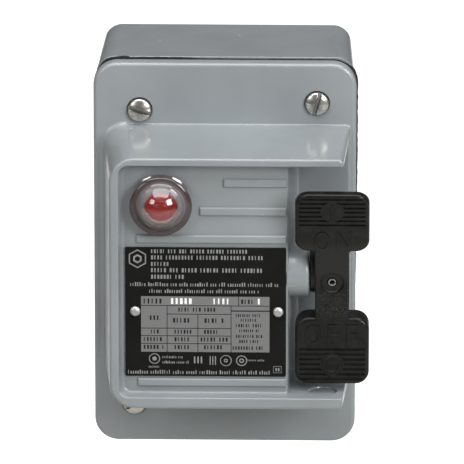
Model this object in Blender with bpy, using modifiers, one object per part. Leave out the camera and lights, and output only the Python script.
"""Manual motor switch in a watertight die-cast enclosure.

Frame: metres, +Z up, the front faces -Y. The origin is on the flat back face
that sits on the wall, midway between the sides and level with the handle's shaft.
"""
import math

import bmesh
import bpy
from mathutils import Matrix, Vector

MM = 0.001
GAP = 0.3 * MM                      # air between pieces that rest on each other

# Depths, measured forward from the wall (they become -Y)
BOX_DEPTH = 50.0 * MM
GASKET_THICK = 0.9 * MM
FLANGE_BACK = BOX_DEPTH + GASKET_THICK + 2 * GAP
FLANGE_THICK = 5.7 * MM
FLANGE_FRONT = FLANGE_BACK + FLANGE_THICK
RIM_RISE = 39.6 * MM                # the guard's front rim, above the flange
PANEL_RISE = 34.0 * MM              # the recessed panel, above the flange
CHANNEL_RISE = 4.0 * MM             # the floor that the handle swings over
SHAFT_RISE = 24.0 * MM              # the operating shaft, above the flange
WALL = 3.0 * MM

# Outlines as (left, right, bottom, top)
FLANGE = (-54.5 * MM, 54.2 * MM, -84.2 * MM, 81.9 * MM)
BOX_BACK = (-51.5 * MM, 51.5 * MM, -82.8 * MM, 81.0 * MM)
BOX_FRONT = (-53.4 * MM, 53.2 * MM, -84.0 * MM, 82.6 * MM)
HOUSING_BASE = (-50.4 * MM, 51.8 * MM, -57.2 * MM, 55.5 * MM)
HOUSING_RIM = (-46.9 * MM, 48.5 * MM, -55.5 * MM, 53.5 * MM)
POCKET_FLOOR = (-41.9 * MM, 70.0 * MM, -50.3 * MM, 49.9 * MM)
POCKET_MOUTH = (-43.4 * MM, 70.0 * MM, -50.7 * MM, 50.2 * MM)
CHANNEL_LEFT_FLOOR = 29.7 * MM
CHANNEL_LEFT_TOP = 26.4 * MM
CAVITY_BASE = (-47.0 * MM, 26.4 * MM, -53.8 * MM, 52.3 * MM)
CAVITY_TOP = (-44.0 * MM, 23.4 * MM, -51.2 * MM, 50.2 * MM)

FLANGE_CORNER = 10.0 * MM
BOX_CORNER = 7.5 * MM
HOUSING_CORNER = 10.5 * MM
HOUSING_CORNER_RIGHT = 2.0 * MM

# Places as (X, Z)
COVER_SCREWS = {
    "cover_screw_top_left": (-35.4 * MM, 61.7 * MM, -17.0),
    "cover_screw_top_right": (38.0 * MM, 64.9 * MM, 75.0),
    "cover_screw_bottom_left": (-38.0 * MM, -67.1 * MM, 30.0),
    "cover_screw_bottom_right": (35.4 * MM, -64.0 * MM, -50.0),
}                                   # with the slot's tilt in degrees
LAMP = (-25.4 * MM, 33.1 * MM)
NAMEPLATE = (-40.5 * MM, 25.8 * MM, -42.7 * MM, 13.55 * MM)
RIVETS = {
    "nameplate_rivet_left": (-36.4 * MM, -14.1 * MM),
    "nameplate_rivet_right": (22.6 * MM, -14.1 * MM),
}
RIBS = ((0.0, 43.2 * MM), (-9.9 * MM, 30.9 * MM), (-36.0 * MM, 18.8 * MM), (-35.5 * MM, -43.8 * MM))
RIB_TALL = 3.6 * MM
RIB_RISE = 1.0 * MM
STRAP_HOLE = 41.65 * MM             # half of the 83.3 mm device hole spacing
WALL_HOLES = (32.0 * MM, 50.0 * MM)
GROUND = (24.0 * MM, -50.0 * MM)
CONDUIT_DEPTH = 23.0 * MM
CONDUIT_RADIUS = 13.9 * MM          # clears a 3/4 in conduit hub
CONDUIT_FACE = -86.0 * MM
PADLOCK_MARK = (41.0 * MM, 30.5 * MM)

# Operator: handle, shaft and crank turn together about the shaft's axis
HANDLE_X = 44.8 * MM
HANDLE_SWING = 10.0                 # degrees to each side of upright
SHAFT_RADIUS = 4.0 * MM
SHAFT_LEFT = -8.0 * MM
SHAFT_RIGHT = 49.2 * MM
BOSS_RADIUS = 10.5 * MM
BOSS_START = 26.1 * MM
BOSS_END = 35.2 * MM
BORE_RADIUS = 6.3 * MM
PAD_HALF_WIDTH = 15.3 * MM
PAD_NEAR = 15.6 * MM
PAD_FAR = 44.6 * MM
PAD_FRONT = (12.3 * MM, 16.7 * MM)  # rise of the pad's face at its near and far end
PAD_BACK = (4.3 * MM, 12.6 * MM)
PAD_CORNER = 5.6 * MM
WEB_HALF_WIDTH = 7.1 * MM
WEB_BACK = 2.0 * MM
HUB_RADIUS = 8.8 * MM

# Switch: the toggle turns about its pin and pushes the contact carrier
SHAFT_DEPTH = FLANGE_FRONT + SHAFT_RISE
TOGGLE_DEPTH = 39.0 * MM
TOGGLE_RATIO = 1.6
TOGGLE_SWING = HANDLE_SWING * TOGGLE_RATIO
TOGGLE_REACH = (SHAFT_DEPTH - TOGGLE_DEPTH) / (1 + TOGGLE_RATIO)
CRANK_REACH = TOGGLE_REACH * TOGGLE_RATIO
FOOT_REACH = 7.0 * MM
FOOT_RADIUS = 1.5 * MM
BALL_RADIUS = 3.5 * MM
POLES = (-13.0 * MM, 0.0, 13.0 * MM)
POLE_HALF = 6.5 * MM
SWITCH_HALF_WIDTH = 22.0 * MM
SWITCH_HALF_TALL = 32.0 * MM
SWITCH_BACK = 9.0 * MM
SWITCH_LEDGE = 20.0 * MM
SWITCH_SPLIT = 26.0 * MM
SWITCH_FRONT = 39.7 * MM
TERMINAL_FRONT = SWITCH_LEDGE + GAP + 1.2 * MM
CARRIER_TRAVEL = 3.9 * MM
CONTACT_BACK = TERMINAL_FRONT + GAP + CARRIER_TRAVEL
CONTACT_THICK = 1.2 * MM
CARRIER_BACK = CONTACT_BACK + 5.3 * MM


# ---------------------------------------------------------------- scene set-up
for old in list(bpy.data.objects):
    bpy.data.objects.remove(old, do_unlink=True)

parts = bpy.data.collections.new("manual_motor_switch")
cutters = bpy.data.collections.new("cutters")
for group in (parts, cutters):
    bpy.context.scene.collection.children.link(group)


def material(name, colour, roughness, metallic=0.0, alpha=1.0):
    """A Principled material; the colour is linear RGB."""
    mat = bpy.data.materials.new(name)
    mat.use_nodes = True
    shader = mat.node_tree.nodes["Principled BSDF"]
    shader.inputs["Base Color"].default_value = (*colour, 1.0)
    shader.inputs["Roughness"].default_value = roughness
    shader.inputs["Metallic"].default_value = metallic
    shader.inputs["Alpha"].default_value = alpha
    mat.diffuse_color = (*colour, alpha)
    return mat


PAINT = material("grey_enamel", (0.275, 0.300, 0.300), 0.35)
RUBBER = material("black_rubber", (0.012, 0.012, 0.013), 0.70)
STAINLESS = material("stainless_steel", (0.56, 0.56, 0.54), 0.28, 1.0)
SPRING_STEEL = material("spring_steel", (0.40, 0.40, 0.39), 0.35, 1.0)
PLATE_BLACK = material("black_anodised_aluminium", (0.016, 0.016, 0.017), 0.40, 0.3)
ALUMINIUM = material("aluminium", (0.62, 0.62, 0.62), 0.35, 1.0)
CLEAR = material("clear_polycarbonate", (0.90, 0.92, 0.92), 0.05, 0.0, 0.3)
RED = material("red_acrylic", (0.45, 0.01, 0.012), 0.15)
LAMP_GLASS = material("lamp_glass", (0.85, 0.80, 0.72), 0.08, 0.0, 0.4)
HANDLE_BLACK = material("black_moulding", (0.018, 0.018, 0.018), 0.45)
PHENOLIC = material("phenolic", (0.022, 0.019, 0.017), 0.50)
ZINC = material("zinc_plated_steel", (0.52, 0.52, 0.48), 0.32, 1.0)
BRASS = material("brass", (0.58, 0.40, 0.14), 0.30, 1.0)
COPPER = material("silvered_copper", (0.62, 0.36, 0.24), 0.30, 1.0)
NYLON = material("white_nylon", (0.62, 0.60, 0.54), 0.45)
GREEN = material("green_screw", (0.03, 0.20, 0.06), 0.40)


# ------------------------------------------------------------------ mesh tools
def add(name, mesh, mat=None, parent=None):
    """Link a mesh as a part when it has a material, and as a cutter when not."""
    obj = bpy.data.objects.new(name, mesh)
    if mat:
        mesh.materials.append(mat)
        parts.objects.link(obj)
    else:
        cutters.objects.link(obj)
        obj.hide_render = True
        obj.display_type = "WIRE"
    if parent:
        obj.parent = parent
    return obj


def finish(name, bm, mat, parent, smooth=True):
    bmesh.ops.recalc_face_normals(bm, faces=bm.faces)
    mesh = bpy.data.meshes.new(name)
    bm.to_mesh(mesh)
    bm.free()
    if smooth:
        mesh.shade_smooth()
        mesh.set_sharp_from_angle(angle=math.radians(35))
    return add(name, mesh, mat, parent)


def block(name, back, front, mat=None, parent=None, left=0.0, right=None, rim=0.0, steps=5):
    """A box between a back and a front outline, each (left, right, bottom, top, depth).

    left and right round the edges that run front to back; rim rounds the front.
    """
    right = left if right is None else right
    bm = bmesh.new()
    bmesh.ops.create_cube(bm, size=1.0)
    for vert in bm.verts:
        x0, x1, z0, z1, depth = front if vert.co.y < 0 else back
        vert.co = (x1 if vert.co.x > 0 else x0, -depth, z1 if vert.co.z > 0 else z0)
    middle = (front[0] + front[1]) / 2
    for radius, is_side in ((left, lambda x: x < middle), (right, lambda x: x > middle)):
        if radius:
            edges = [e for e in bm.edges
                     if abs(e.verts[0].co.y - e.verts[1].co.y) > 1e-7 and is_side(e.verts[0].co.x)
                     and abs(e.calc_face_angle(0.0)) > 1.0]
            bmesh.ops.bevel(bm, geom=edges, offset=radius, segments=steps, profile=0.5,
                            affect="EDGES", clamp_overlap=False)
    if rim:
        bm.normal_update()
        face = min(bm.faces, key=lambda f: f.normal.y)
        bmesh.ops.bevel(bm, geom=list(face.edges), offset=rim, segments=2, profile=0.5,
                        affect="EDGES", clamp_overlap=False)
    return finish(name, bm, mat, parent)


def slab(name, outline, near, far, mat=None, parent=None, **rounding):
    """A straight block with one outline, from depth near to depth far."""
    return block(name, (*outline, near), (*outline, far), mat, parent, **rounding)


def rod(name, radius, start, end, mat=None, parent=None, segments=20):
    """A cylinder between two points."""
    start = Vector(start)
    end = Vector(end)
    turn = Vector((0, 0, 1)).rotation_difference(end - start).to_matrix().to_4x4()
    bm = bmesh.new()
    bmesh.ops.create_cone(bm, cap_ends=True, segments=segments, radius1=radius, radius2=radius,
                          depth=(end - start).length, matrix=Matrix.Translation((start + end) / 2) @ turn)
    return finish(name, bm, mat, parent)


def turned(name, profile, place, mat=None, parent=None, facing="FRONT", steps=32):
    """Turn (radius, height) points about an axis that runs to the front or to the right.

    The points run down the outer side, top to bottom. A profile that starts and
    ends off the axis is closed into a ring.
    """
    bm = bmesh.new()
    verts = [bm.verts.new((radius, 0, height)) for radius, height in profile]
    for first, second in zip(verts, verts[1:]):
        bm.edges.new((first, second))
    if profile[0][0] > 0 or profile[-1][0] > 0:
        bm.edges.new((verts[-1], verts[0]))
    mesh = bpy.data.meshes.new(name)
    bm.to_mesh(mesh)
    bm.free()
    obj = add(name, mesh, mat, parent)
    obj.location = place
    if facing == "FRONT":
        obj.rotation_euler = (math.radians(90), 0, 0)
    else:
        obj.rotation_euler = (0, math.radians(90), 0)
    screw = obj.modifiers.new("Turn", "SCREW")
    screw.steps = steps
    screw.render_steps = steps
    screw.use_merge_vertices = True
    screw.merge_threshold = 0.00001
    return obj


def boolean(target, tool, operation="DIFFERENCE"):
    step = target.modifiers.new(tool.name, "BOOLEAN")
    step.operation = operation
    step.object = tool
    return target


def join(target, tool):
    return boolean(target, tool, "UNION")


def pivot(name, place, tilt):
    """An empty on a joint's axis, tilted about X."""
    empty = bpy.data.objects.new(name, None)
    empty.empty_display_size = 0.01
    empty.location = place
    empty.rotation_euler = (math.radians(tilt), 0, 0)
    parts.objects.link(empty)
    return empty


def grow(outline, amount):
    left, right, bottom, top = outline
    return (left - amount, right + amount, bottom - amount, top + amount)


def around(centre_x, centre_z, half_x, half_z):
    return (centre_x - half_x, centre_x + half_x, centre_z - half_z, centre_z + half_z)


def arc(radius, centre, start, end, steps):
    """Points (radius, height) along a round stretch; angles in degrees from the radius."""
    points = []
    for step in range(steps + 1):
        angle = math.radians(start + (end - start) * step / steps)
        points.append((centre[0] + radius * math.cos(angle), centre[1] + radius * math.sin(angle)))
    return points


# ------------------------------------------------------------------- enclosure
def make_base_box():
    box = block("base_box", (*BOX_BACK, 0.0), (*BOX_FRONT, BOX_DEPTH), PAINT, left=BOX_CORNER)
    inside = BOX_CORNER - WALL
    boolean(box, block("box_cavity", (*grow(BOX_BACK, -WALL), WALL),
                       (*grow(BOX_FRONT, -WALL), BOX_DEPTH + 2 * MM), left=inside))
    for name, (x, z, _) in COVER_SCREWS.items():
        join(box, rod(name + "_pillar", 5.2 * MM, (x, -WALL / 2, z), (x, -BOX_DEPTH + 0.8 * MM, z),
                      segments=16))
        boolean(box, rod(name + "_tapping", 2.6 * MM, (x, -22 * MM, z), (x, -BOX_DEPTH - MM, z),
                         segments=12))
    for side in (-1, 1):
        z = side * STRAP_HOLE
        join(box, rod(f"strap_pillar_{side}", 4.6 * MM, (0, -WALL / 2, z), (0, -SWITCH_FRONT, z),
                      segments=16))
        boolean(box, rod(f"strap_tapping_{side}", 2.0 * MM, (0, -24 * MM, z),
                         (0, -SWITCH_FRONT - MM, z), segments=12))
        for other in (-1, 1):
            x = other * WALL_HOLES[0]
            z = side * WALL_HOLES[1]
            boolean(box, rod(f"wall_hole_{side}_{other}", 2.75 * MM, (x, MM, z), (x, -WALL - MM, z),
                             segments=12))
    join(box, rod("conduit_hub", CONDUIT_RADIUS + 4.6 * MM, (0, -CONDUIT_DEPTH, CONDUIT_FACE),
                  (0, -CONDUIT_DEPTH, BOX_BACK[2] + 2 * MM), segments=28))
    boolean(box, rod("conduit_hole", CONDUIT_RADIUS, (0, -CONDUIT_DEPTH, CONDUIT_FACE - MM),
                     (0, -CONDUIT_DEPTH, BOX_BACK[2] + 6 * MM), segments=28))
    x, z = GROUND
    join(box, rod("ground_pad", 4.5 * MM, (x, -WALL / 2, z), (x, -7 * MM, z), segments=16))
    boolean(box, rod("ground_tapping", 2.0 * MM, (x, -4 * MM, z), (x, -8 * MM, z), segments=12))


def make_cover():
    cover = slab("cover", FLANGE, FLANGE_BACK, FLANGE_FRONT, PAINT, left=FLANGE_CORNER, rim=1.6 * MM)
    front = FLANGE_FRONT
    rim = front + RIM_RISE
    panel = front + PANEL_RISE
    join(cover, block("housing", (*HOUSING_BASE, front - MM), (*HOUSING_RIM, rim),
                      left=HOUSING_CORNER, right=HOUSING_CORNER_RIGHT, rim=1.0 * MM))
    boolean(cover, block("panel_pocket", (*POCKET_FLOOR, panel), (*POCKET_MOUTH, rim + MM),
                         left=4.0 * MM, right=0.0))
    channel = front + CHANNEL_RISE
    boolean(cover, block("handle_channel",
                         (CHANNEL_LEFT_FLOOR, *POCKET_FLOOR[1:], channel),
                         (CHANNEL_LEFT_TOP, *POCKET_FLOOR[1:], panel + MM)))
    boolean(cover, block("cover_cavity", (*CAVITY_BASE, FLANGE_BACK - MM),
                         (*CAVITY_TOP, panel - WALL), left=5.0 * MM, steps=3))
    boolean(cover, slab("channel_relief", (31.0 * MM, 47.0 * MM, -46.0 * MM, 46.0 * MM),
                        FLANGE_BACK - MM, channel - WALL, left=2.0 * MM, steps=2))
    for name, z in (("top_relief", 67.0 * MM), ("bottom_relief", -68.0 * MM)):
        boolean(cover, slab(name, around(0, z, 26.0 * MM, 7.5 * MM), FLANGE_BACK - MM,
                            front - 3.4 * MM, left=2.0 * MM, steps=2))
    for index, (left, top) in enumerate(RIBS):
        join(cover, slab(f"panel_rib_{index}", (left, 26.2 * MM, top - RIB_TALL, top),
                         panel - MM, panel + RIB_RISE))
    depth = -SHAFT_DEPTH
    boss = [(0, BOSS_END), (BOSS_RADIUS - 0.9 * MM, BOSS_END), (BOSS_RADIUS, BOSS_END - 0.9 * MM),
            (BOSS_RADIUS, BOSS_START), (8.6 * MM, BOSS_START), (8.6 * MM, 16.4 * MM), (0, 16.4 * MM)]
    join(cover, turned("shaft_boss", boss, (0, depth, 0), facing="RIGHT", steps=24))
    boolean(cover, rod("shaft_bore", BORE_RADIUS, (15.0 * MM, depth, 0), (BOSS_END + MM, depth, 0)))
    for name, (x, z, _) in COVER_SCREWS.items():
        boolean(cover, rod(name + "_clearance", 2.8 * MM, (x, -FLANGE_BACK + MM, z),
                           (x, -front - MM, z), segments=12))
        boolean(cover, rod(name + "_seat", 5.5 * MM, (x, -front + 1.6 * MM, z), (x, -front - MM, z)))
    x, z = LAMP
    boolean(cover, rod("lamp_hole", 8.3 * MM, (x, -panel + 5 * MM, z), (x, -panel - 2 * MM, z)))
    for name, (x, z) in RIVETS.items():
        boolean(cover, rod(name + "_hole", 1.5 * MM, (x, -panel + 5 * MM, z), (x, -panel - MM, z),
                           segments=12))
    x, rise = PADLOCK_MARK
    floor = POCKET_FLOOR[2]
    boolean(cover, rod("padlock_mark", 5.8 * MM, (x, -front - rise, floor - 0.8 * MM),
                       (x, -front - rise, floor + 2 * MM)))


def make_cover_gasket():
    outline = (FLANGE[0] + 0.4 * MM, FLANGE[1] + 0.5 * MM, FLANGE[2], FLANGE[3] + 0.1 * MM)
    near = BOX_DEPTH + GAP
    gasket = slab("cover_gasket", outline, near, near + GASKET_THICK, RUBBER, left=FLANGE_CORNER)
    boolean(gasket, slab("gasket_window", grow(BOX_FRONT, -2.6 * MM), near - MM,
                         near + GASKET_THICK + MM, left=BOX_CORNER - 2.6 * MM))


def make_cover_screws():
    head = arc(9.6 * MM, (0, -6.9 * MM), 90, 62, 3)
    profile = head + [(4.9 * MM, 0.2 * MM), (4.9 * MM, -0.9 * MM), (2.3 * MM, -0.9 * MM),
                      (2.3 * MM, -24.0 * MM), (1.5 * MM, -25.0 * MM), (0, -25.0 * MM)]
    profile[0] = (0, profile[0][1])
    for name, (x, z, tilt) in COVER_SCREWS.items():
        screw = turned(name, profile, (x, -FLANGE_FRONT, z), STAINLESS, steps=20)
        slot = slab(name + "_slot", around(0, 0, 7 * MM, 0.6 * MM), 1.3 * MM, 5 * MM)
        slot.location = (x, -FLANGE_FRONT, z)
        slot.rotation_euler = (0, math.radians(-tilt), 0)
        boolean(screw, slot)


def make_nameplate():
    near = FLANGE_FRONT + PANEL_RISE + GAP
    plate = slab("nameplate", NAMEPLATE, near, near + 0.6 * MM, PLATE_BLACK, left=0.6 * MM, steps=2)
    profile = arc(3.0 * MM, (0, -0.75 * MM), 90, 44, 3)
    profile[0] = (0, profile[0][1])
    profile += [(2.15 * MM, 0.9 * MM), (1.2 * MM, 0.9 * MM), (1.2 * MM, -3.2 * MM), (0, -3.2 * MM)]
    for name, (x, z) in RIVETS.items():
        boolean(plate, rod(name + "_clearance", 1.5 * MM, (x, -near + MM, z), (x, -near - 2 * MM, z),
                           segments=12))
        turned(name, profile, (x, -near - 0.05 * MM, z), ALUMINIUM, steps=16)


# ------------------------------------------------------------------ pilot lamp
def make_pilot_lamp():
    """Everything is turned about the lamp's axis; heights are above the flange."""
    place = (LAMP[0], -FLANGE_FRONT, LAMP[1])
    centre = 35.7 * MM
    outer = arc(10.6 * MM, (0, centre), 90, 26, 6)
    inner = arc(9.1 * MM, (0, centre), 40, 90, 4)
    outer[0] = (0, outer[0][1])
    inner[-1] = (0, inner[-1][1])
    collar = arc(1.0 * MM, (11.9 * MM, 38.9 * MM), 90, 0, 3)
    neck = [(12.9 * MM, 35.5 * MM), (7.9 * MM, 35.5 * MM), (7.9 * MM, 27.5 * MM),
            (6.9 * MM, 27.5 * MM)]
    turned("pilot_lens", outer + collar + neck + inner, place, CLEAR, steps=28)
    turned("lens_gasket", [(12.4 * MM, 35.2 * MM), (12.4 * MM, 34.3 * MM), (8.6 * MM, 34.3 * MM),
                           (8.6 * MM, 35.2 * MM)], place, RUBBER, steps=24)
    bm = bmesh.new()
    bmesh.ops.create_cone(bm, cap_ends=True, segments=6, radius1=11.6 * MM, radius2=11.6 * MM,
                          depth=2.6 * MM, matrix=Matrix.Rotation(math.radians(90), 4, "X"))
    nut = finish("lens_nut", bm, BRASS, None, smooth=False)
    nut.location = (LAMP[0], -FLANGE_FRONT - 29.3 * MM, LAMP[1])
    boolean(nut, rod("nut_thread", 8.2 * MM, (LAMP[0], -FLANGE_FRONT - 25 * MM, LAMP[1]),
                     (LAMP[0], -FLANGE_FRONT - 33 * MM, LAMP[1])))
    cap = arc(6.4 * MM, (0, 37.0 * MM), 90, 0, 4) + [(6.4 * MM, 30.3 * MM), (5.2 * MM, 30.3 * MM)]
    cap += arc(5.2 * MM, (0, 37.0 * MM), 0, 90, 4)
    cap[0] = (0, cap[0][1])
    cap[-1] = (0, cap[-1][1])
    turned("lamp_cap", cap, place, RED, steps=20)
    bulb = arc(3.4 * MM, (0, 37.0 * MM), 90, 0, 4) + [(3.4 * MM, 33.5 * MM), (3.9 * MM, 32.8 * MM),
                                                      (3.9 * MM, 21.0 * MM), (0, 21.0 * MM)]
    bulb[0] = (0, bulb[0][1])
    turned("lamp_bulb", bulb, place, LAMP_GLASS, steps=12)
    holder = [(6.2 * MM, 30.0 * MM), (6.2 * MM, 27.2 * MM), (9.8 * MM, 27.2 * MM),
              (9.8 * MM, 23.6 * MM), (8.2 * MM, 23.6 * MM), (8.2 * MM, 6.0 * MM), (0, 6.0 * MM),
              (0, 20.5 * MM), (4.3 * MM, 20.5 * MM), (4.3 * MM, 30.0 * MM)]
    holder = holder[7:] + holder[:7]
    turned("lamp_holder", holder, place, PHENOLIC, steps=18)
    for name, side in (("lamp_tab_left", -1), ("lamp_tab_right", 1)):
        x = LAMP[0] + side * 4.0 * MM
        slab(name, around(x, LAMP[1], 0.4 * MM, 2.4 * MM), FLANGE_FRONT - 3.0 * MM,
             FLANGE_FRONT + 6.0 * MM - GAP, BRASS)


# -------------------------------------------------------------------- operator
def wedge(name, side, reach, fronts, backs, half_width, mat=None, parent=None, corner=0.0, rim=0.0):
    """Half of the rocker, at side +1 (top) or -1.

    reach, fronts and backs give its two ends: how far along the handle they lie,
    and how high the face and the back stand there above the shaft's axis.
    """
    bm = bmesh.new()
    bmesh.ops.create_cube(bm, size=1.0)
    for vert in bm.verts:
        end = 1 if vert.co.z > 0 else 0
        rise = fronts[end] if vert.co.y < 0 else backs[end]
        vert.co = (half_width if vert.co.x > 0 else -half_width, -rise, reach[end])
    if corner:
        edges = [e for e in bm.edges if abs(e.verts[0].co.x - e.verts[1].co.x) < 1e-7
                 and abs(e.verts[0].co.z - e.verts[1].co.z) < 1e-7]
        bmesh.ops.bevel(bm, geom=edges, offset=corner, segments=6, profile=0.5,
                        affect="EDGES", clamp_overlap=False)
    if rim:
        bm.normal_update()
        face = min(bm.faces, key=lambda f: f.normal.y)
        bmesh.ops.bevel(bm, geom=list(face.edges), offset=rim, segments=2, profile=0.5,
                        affect="EDGES", clamp_overlap=False)
    if side < 0:
        bmesh.ops.scale(bm, verts=bm.verts, vec=(1, 1, -1))
    return finish(name, bm, mat, parent)


def make_operator():
    axis = pivot("operator_axis", (HANDLE_X, -SHAFT_DEPTH, 0), HANDLE_SWING)
    make_handle(axis)
    make_shaft(axis)
    make_crank(axis)


def make_handle(axis):
    handle = rod("handle", HUB_RADIUS, (BOSS_END + GAP - HANDLE_X, 0, 0), (WEB_HALF_WIDTH, 0, 0),
                 HANDLE_BLACK, axis, segments=24)
    slope = (PAD_FRONT[1] - PAD_FRONT[0]) / (PAD_FAR - PAD_NEAR)
    for name, side in (("on", 1), ("off", -1)):
        reach = (-1.0 * MM, PAD_NEAR + 4 * MM)
        fronts = [PAD_FRONT[0] + slope * (along - PAD_NEAR) for along in reach]
        join(handle, wedge(f"{name}_web", side, reach, fronts, (WEB_BACK, WEB_BACK), WEB_HALF_WIDTH,
                           parent=axis))
        join(handle, wedge(f"{name}_pad", side, (PAD_NEAR, PAD_FAR), PAD_FRONT, PAD_BACK,
                           PAD_HALF_WIDTH, parent=axis, corner=PAD_CORNER, rim=0.9 * MM))
    boolean(handle, rod("handle_bore", SHAFT_RADIUS + GAP, (BOSS_END - HANDLE_X, 0, 0),
                        (SHAFT_RIGHT - HANDLE_X + GAP, 0, 0), parent=axis))
    boolean(handle, rod("pin_hole", 2.1 * MM, (0, 12 * MM, 0), (0, -12 * MM, 0), parent=axis,
                        segments=16))
    pin = rod("roll_pin", 1.8 * MM, (0, 8.2 * MM, 0), (0, -9.8 * MM, 0), SPRING_STEEL, axis, 16)
    boolean(pin, rod("pin_bore", 0.95 * MM, (0, 10 * MM, 0), (0, -12 * MM, 0), parent=axis,
                     segments=12))
    boolean(pin, slab("pin_slit", (0, 3 * MM, -0.25 * MM, 0.25 * MM), -10 * MM, 12 * MM, parent=axis))


def make_shaft(axis):
    groove = 3.3 * MM
    left = SHAFT_LEFT - HANDLE_X
    right = SHAFT_RIGHT - HANDLE_X
    ring = 15.0 * MM - HANDLE_X
    profile = [(0, right), (SHAFT_RADIUS - 0.6 * MM, right), (SHAFT_RADIUS, right - 0.6 * MM),
               (SHAFT_RADIUS, ring + 0.7 * MM), (groove, ring + 0.7 * MM), (groove, ring - 0.7 * MM),
               (SHAFT_RADIUS, ring - 0.7 * MM), (SHAFT_RADIUS, left + 0.6 * MM),
               (SHAFT_RADIUS - 0.6 * MM, left), (0, left)]
    shaft = turned("operating_shaft", profile, (0, 0, 0), STAINLESS, axis, "RIGHT", 20)
    boolean(shaft, rod("shaft_pin_hole", 2.1 * MM, (0, 8 * MM, 0), (0, -8 * MM, 0), parent=axis,
                       segments=16))
    clip = turned("retaining_ring", [(6.6 * MM, 0.4 * MM), (6.6 * MM, -0.4 * MM),
                                     (3.6 * MM, -0.4 * MM), (3.6 * MM, 0.4 * MM)],
                  (ring, 0, 0), SPRING_STEEL, axis, "RIGHT", 20)
    boolean(clip, slab("clip_gap", (ring - 2 * MM, ring + 2 * MM, -2.2 * MM, 2.2 * MM), -8 * MM, 0,
                       parent=axis))


def make_crank(axis):
    """A forked arm on the shaft: it points back and holds the toggle's ball."""
    middle = -HANDLE_X
    half = 5.0 * MM
    slot = BALL_RADIUS + 0.4 * MM
    tine = slot + 2.4 * MM
    crank = rod("operator_crank", 6.4 * MM, (middle - 6 * MM, 0, 0), (middle + 6 * MM, 0, 0), ZINC, axis)
    join(crank, slab("crank_arm", around(middle, 0, half, 3.2 * MM), -(CRANK_REACH - 6 * MM), 0,
                     parent=axis))
    join(crank, slab("crank_fork", around(middle, 0, half, tine), -(CRANK_REACH + 2 * MM),
                     -(CRANK_REACH - 8 * MM), parent=axis))
    boolean(crank, slab("fork_slot", around(middle, 0, half + MM, slot), -(CRANK_REACH + 4 * MM),
                        -(CRANK_REACH - 5.2 * MM), parent=axis))
    boolean(crank, rod("crank_bore", SHAFT_RADIUS + GAP, (middle - 8 * MM, 0, 0),
                       (middle + 8 * MM, 0, 0), parent=axis))
    boolean(crank, rod("set_hole", 1.9 * MM, (middle, 0, 3 * MM), (middle, 0, 8 * MM), parent=axis,
                       segments=12))
    rod("crank_set_screw", 1.6 * MM, (middle, 0, 4.35 * MM), (middle, 0, 6.9 * MM), STAINLESS, axis, 12)


def make_shaft_seals():
    depth = -SHAFT_DEPTH
    bush = [(BORE_RADIUS - GAP, 31.2 * MM), (BORE_RADIUS - GAP, 16.1 * MM), (6.7 * MM, 16.1 * MM),
            (6.7 * MM, 15.7 * MM), (SHAFT_RADIUS + GAP, 15.7 * MM), (SHAFT_RADIUS + GAP, 31.2 * MM)]
    turned("shaft_bushing", bush, (0, depth, 0), BRASS, None, "RIGHT", 20)
    centre = (SHAFT_RADIUS + BORE_RADIUS) / 2
    ring = arc(0.8 * MM, (centre, 32.6 * MM), 90, -225, 7)
    turned("shaft_oring", ring, (0, depth, 0), RUBBER, None, "RIGHT", 18)


# ---------------------------------------------------------------------- switch
def make_switch_base():
    outline = around(0, 0, SWITCH_HALF_WIDTH, SWITCH_HALF_TALL)
    base = slab("switch_base", outline, SWITCH_BACK, SWITCH_LEDGE, PHENOLIC, left=1.5 * MM, steps=2)
    walls = {"left_wall": -21.0 * MM, "left_barrier": -POLE_HALF, "right_barrier": POLE_HALF,
             "right_wall": 21.0 * MM}
    for name, x in walls.items():
        join(base, slab(name, around(x, 0, 0.9 * MM, SWITCH_HALF_TALL - 1.6 * MM),
                        SWITCH_LEDGE - MM, SWITCH_SPLIT))
    boolean(base, slab("arc_pocket", around(0, 0, 19.0 * MM, 7.0 * MM), SWITCH_LEDGE - 6 * MM,
                       SWITCH_SPLIT + MM))
    for name, x, z in switch_bolts():
        boolean(base, rod(name + "_tapping", 1.6 * MM, (x, -12 * MM, z), (x, -SWITCH_SPLIT - MM, z),
                          segments=12))
    for index, x in enumerate(POLES):
        for side in (-1, 1):
            z = side * 26.5 * MM
            boolean(base, rod(f"terminal_tapping_{index}_{side}", 1.9 * MM, (x, -12 * MM, z),
                              (x, -SWITCH_LEDGE - MM, z), segments=12))


def switch_bolts():
    return (("switch_screw_upper", 17.6 * MM, 17.0 * MM), ("switch_screw_lower", -17.6 * MM, -17.0 * MM))


def make_switch_cover():
    near = SWITCH_SPLIT + GAP
    case = slab("switch_cover", around(0, 0, SWITCH_HALF_WIDTH, 21.0 * MM), near, SWITCH_FRONT,
                PHENOLIC, left=1.5 * MM, steps=2)
    join(case, slab("toggle_boss", around(0, 0, 9.0 * MM, 12.0 * MM), SWITCH_FRONT - MM, 47.0 * MM,
                    rim=0.8 * MM))
    boolean(case, slab("case_cavity", around(0, 0, 19.4 * MM, 12.5 * MM), near - MM, 36.2 * MM))
    boolean(case, slab("boss_cavity", around(0, 0, 7.0 * MM, 10.5 * MM), 35.0 * MM, 45.2 * MM))
    boolean(case, slab("toggle_window", around(0, 0, 3.4 * MM, 5.8 * MM), 44.0 * MM, 48.0 * MM))
    boolean(case, rod("toggle_pin_hole", 1.8 * MM, (-8.4 * MM, -TOGGLE_DEPTH, 0),
                      (8.4 * MM, -TOGGLE_DEPTH, 0), segments=16))
    for name, x, z in switch_bolts():
        boolean(case, rod(name + "_case_hole", 1.9 * MM, (x, -near + MM, z),
                          (x, -SWITCH_FRONT - MM, z), segments=12))


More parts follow.
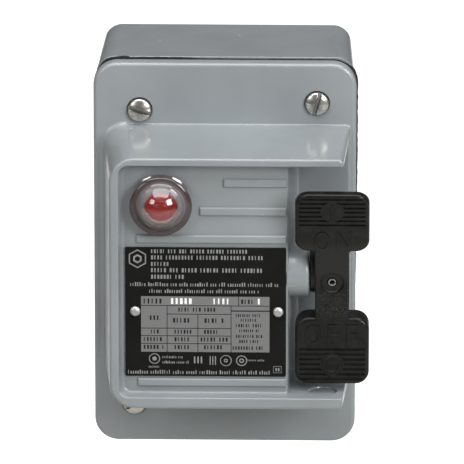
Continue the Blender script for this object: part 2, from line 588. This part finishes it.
def make_strap():
    """A steel yoke in front of the switch, screwed to the box's two pillars."""
    near = SWITCH_FRONT + GAP
    far = near + 1.5 * MM
    strap = slab("mounting_strap", around(0, 0, 20.5 * MM, 20.0 * MM), near, far, ZINC,
                 left=1.5 * MM, steps=2)
    join(strap, slab("strap_ends", around(0, 0, 8.0 * MM, 47.0 * MM), near, far, left=3.0 * MM, steps=3))
    boolean(strap, slab("strap_window", around(0, 0, 9.4 * MM, 12.4 * MM), near - MM, far + MM))
    profile = arc(6.0 * MM, (0, -3.4 * MM), 90, 50, 3)
    profile[0] = (0, profile[0][1])
    head = profile + [(3.9 * MM, 0.9 * MM), (3.9 * MM, 0), (1.65 * MM, 0), (1.65 * MM, -14.0 * MM),
                      (0, -14.0 * MM)]
    for name, z in (("strap_screw_top", STRAP_HOLE), ("strap_screw_bottom", -STRAP_HOLE)):
        boolean(strap, rod(name + "_hole", 2.1 * MM, (0, -near + MM, z), (0, -far - MM, z), segments=16))
        slotted(turned(name, head, (0, -far - GAP, z), ZINC, steps=16), 1.4 * MM)
    small = arc(4.2 * MM, (0, -2.3 * MM), 90, 48, 3)
    small[0] = (0, small[0][1])
    small += [(2.9 * MM, 0.7 * MM), (2.9 * MM, 0), (1.3 * MM, 0), (1.3 * MM, -27.0 * MM),
              (0, -27.0 * MM)]
    for name, x, z in switch_bolts():
        boolean(strap, rod(name + "_strap_hole", 1.8 * MM, (x, -near + MM, z), (x, -far - MM, z),
                           segments=12))
        slotted(turned(name, small, (x, -far - GAP, z), ZINC, steps=12), 1.0 * MM)


def slotted(screw, floor):
    """Cut a straight slot across a screw's head, above the height floor."""
    slot = slab(screw.name + "_slot", around(0, 0, 6 * MM, 0.45 * MM), floor, 6 * MM)
    slot.location = screw.location
    return boolean(screw, slot)


def make_toggle():
    axis = pivot("toggle_axis", (0, -TOGGLE_DEPTH, 0), -TOGGLE_SWING)
    lever = rod("toggle_lever", 3.4 * MM, (-5.5 * MM, 0, 0), (5.5 * MM, 0, 0), PHENOLIC, axis, 20)
    ball = arc(BALL_RADIUS, (0, TOGGLE_REACH), 90, -40, 6)
    ball[0] = (0, ball[0][1])
    ball += [(2.3 * MM, 2.0 * MM), (0, 2.0 * MM)]
    join(lever, turned("toggle_bat", ball, (0, 0, 0), parent=axis, steps=16))
    join(lever, slab("foot_neck", (-2.0 * MM, 2.0 * MM, -FOOT_REACH, 0), -1.0 * MM, 1.0 * MM,
                     parent=axis))
    join(lever, rod("foot_roller", FOOT_RADIUS, (-2.2 * MM, 0, -FOOT_REACH), (2.2 * MM, 0, -FOOT_REACH),
                    parent=axis, segments=16))
    boolean(lever, rod("toggle_bore", 1.8 * MM, (-8 * MM, 0, 0), (8 * MM, 0, 0), parent=axis, segments=16))
    rod("toggle_pin", 1.5 * MM, (-8.1 * MM, -TOGGLE_DEPTH, 0), (8.1 * MM, -TOGGLE_DEPTH, 0), ZINC,
        segments=16)


def make_carrier():
    """The insulating bar that the toggle's foot pushes, with one bridge a pole."""
    thick = 3.0 * MM
    far = CARRIER_BACK + thick
    bar = slab("contact_carrier", around(0, 0, 18.6 * MM, 6.0 * MM), CARRIER_BACK, far, NYLON,
               left=1.0 * MM, steps=2)
    foot = TOGGLE_DEPTH + FOOT_REACH * math.sin(math.radians(TOGGLE_SWING))
    slot = FOOT_RADIUS + 0.35 * MM
    join(bar, slab("carrier_yoke", (-2.6 * MM, 2.6 * MM, -9.2 * MM, -5.2 * MM), CARRIER_BACK + MM,
                   foot + slot + 1.2 * MM))
    boolean(bar, slab("yoke_slot", (-4.0 * MM, 4.0 * MM, -10.0 * MM, -4.0 * MM), foot - slot,
                      foot + slot))
    join(bar, slab("yoke_cheek", (-2.6 * MM, 2.6 * MM, -10.0 * MM, -9.0 * MM), foot - slot - MM,
                   foot + slot + 1.2 * MM))
    names = ("left", "middle", "right")
    for pole, x in zip(names, POLES):
        join(bar, rod(f"bridge_post_{pole}", 1.2 * MM, (x, -CARRIER_BACK - MM, 0),
                      (x, -CONTACT_BACK + 0.5 * MM, 0), segments=12))
        bridge = slab(f"moving_contact_{pole}", around(x, 0, 2.8 * MM, 11.0 * MM), CONTACT_BACK,
                      CONTACT_BACK + CONTACT_THICK, COPPER, left=0.8 * MM, steps=2)
        boolean(bridge, rod(f"bridge_hole_{pole}", 1.5 * MM, (x, -CONTACT_BACK + MM, 0),
                            (x, -CONTACT_BACK - 3 * MM, 0), segments=12))
        coil(f"contact_spring_{pole}", (x, 0), CONTACT_BACK + CONTACT_THICK + GAP, CARRIER_BACK - GAP)


def coil(name, place, near, far):
    """A compression spring about the Y axis, between two depths."""
    wire = 0.3 * MM
    radius = 2.2 * MM
    turns = 3
    per_turn = 10
    count = turns * per_turn
    curve = bpy.data.curves.new(name, "CURVE")
    curve.dimensions = "3D"
    curve.bevel_depth = wire
    curve.bevel_resolution = 0
    curve.use_fill_caps = True
    spline = curve.splines.new("POLY")
    spline.points.add(count)
    for index, point in enumerate(spline.points):
        angle = 2 * math.pi * index / per_turn
        depth = near + wire + (far - near - 2 * wire) * index / count
        point.co = (place[0] + radius * math.cos(angle), -depth, place[1] + radius * math.sin(angle), 1)
    curve.materials.append(SPRING_STEEL)
    spring = bpy.data.objects.new(name, curve)
    parts.objects.link(spring)
    return spring


def make_terminals():
    """Line terminals along the top edge and load terminals along the bottom."""
    near = SWITCH_LEDGE + GAP
    screw = [(0, 2.2 * MM), (3.0 * MM, 2.2 * MM), (3.4 * MM, 1.8 * MM), (3.4 * MM, 0),
             (1.5 * MM, 0), (1.5 * MM, -7.0 * MM), (0, -7.0 * MM)]
    for row, side in (("line", 1), ("load", -1)):
        for pole, x in zip(("left", "middle", "right"), POLES):
            ends = sorted((side * 8.0 * MM, side * 30.5 * MM))
            strip = slab(f"{row}_terminal_{pole}", (x - 3.2 * MM, x + 3.2 * MM, *ends), near,
                         TERMINAL_FRONT, BRASS)
            z = side * 26.5 * MM
            boolean(strip, rod(f"{row}_hole_{pole}", 1.8 * MM, (x, -near + MM, z),
                               (x, -near - 3 * MM, z), segments=12))
            slotted(turned(f"{row}_screw_{pole}", screw, (x, -TERMINAL_FRONT - GAP, z), ZINC, steps=12),
                    1.2 * MM)


def make_ground_screw():
    x, z = GROUND
    bm = bmesh.new()
    bmesh.ops.create_cone(bm, cap_ends=True, segments=6, radius1=4.2 * MM, radius2=4.2 * MM,
                          depth=2.6 * MM, matrix=Matrix.Rotation(math.radians(90), 4, "X"))
    screw = finish("ground_screw", bm, GREEN, None, smooth=False)
    screw.location = (x, -8.6 * MM, z)
    join(screw, rod("ground_shank", 1.7 * MM, (x, -4.4 * MM, z), (x, -8.6 * MM, z), segments=12))
    slotted(screw, 0.5 * MM)


make_base_box()
make_cover()
make_cover_gasket()
make_cover_screws()
make_nameplate()
make_pilot_lamp()
make_operator()
make_shaft_seals()
make_switch_base()
make_switch_cover()
make_strap()
make_toggle()
make_carrier()
make_terminals()
make_ground_screw()
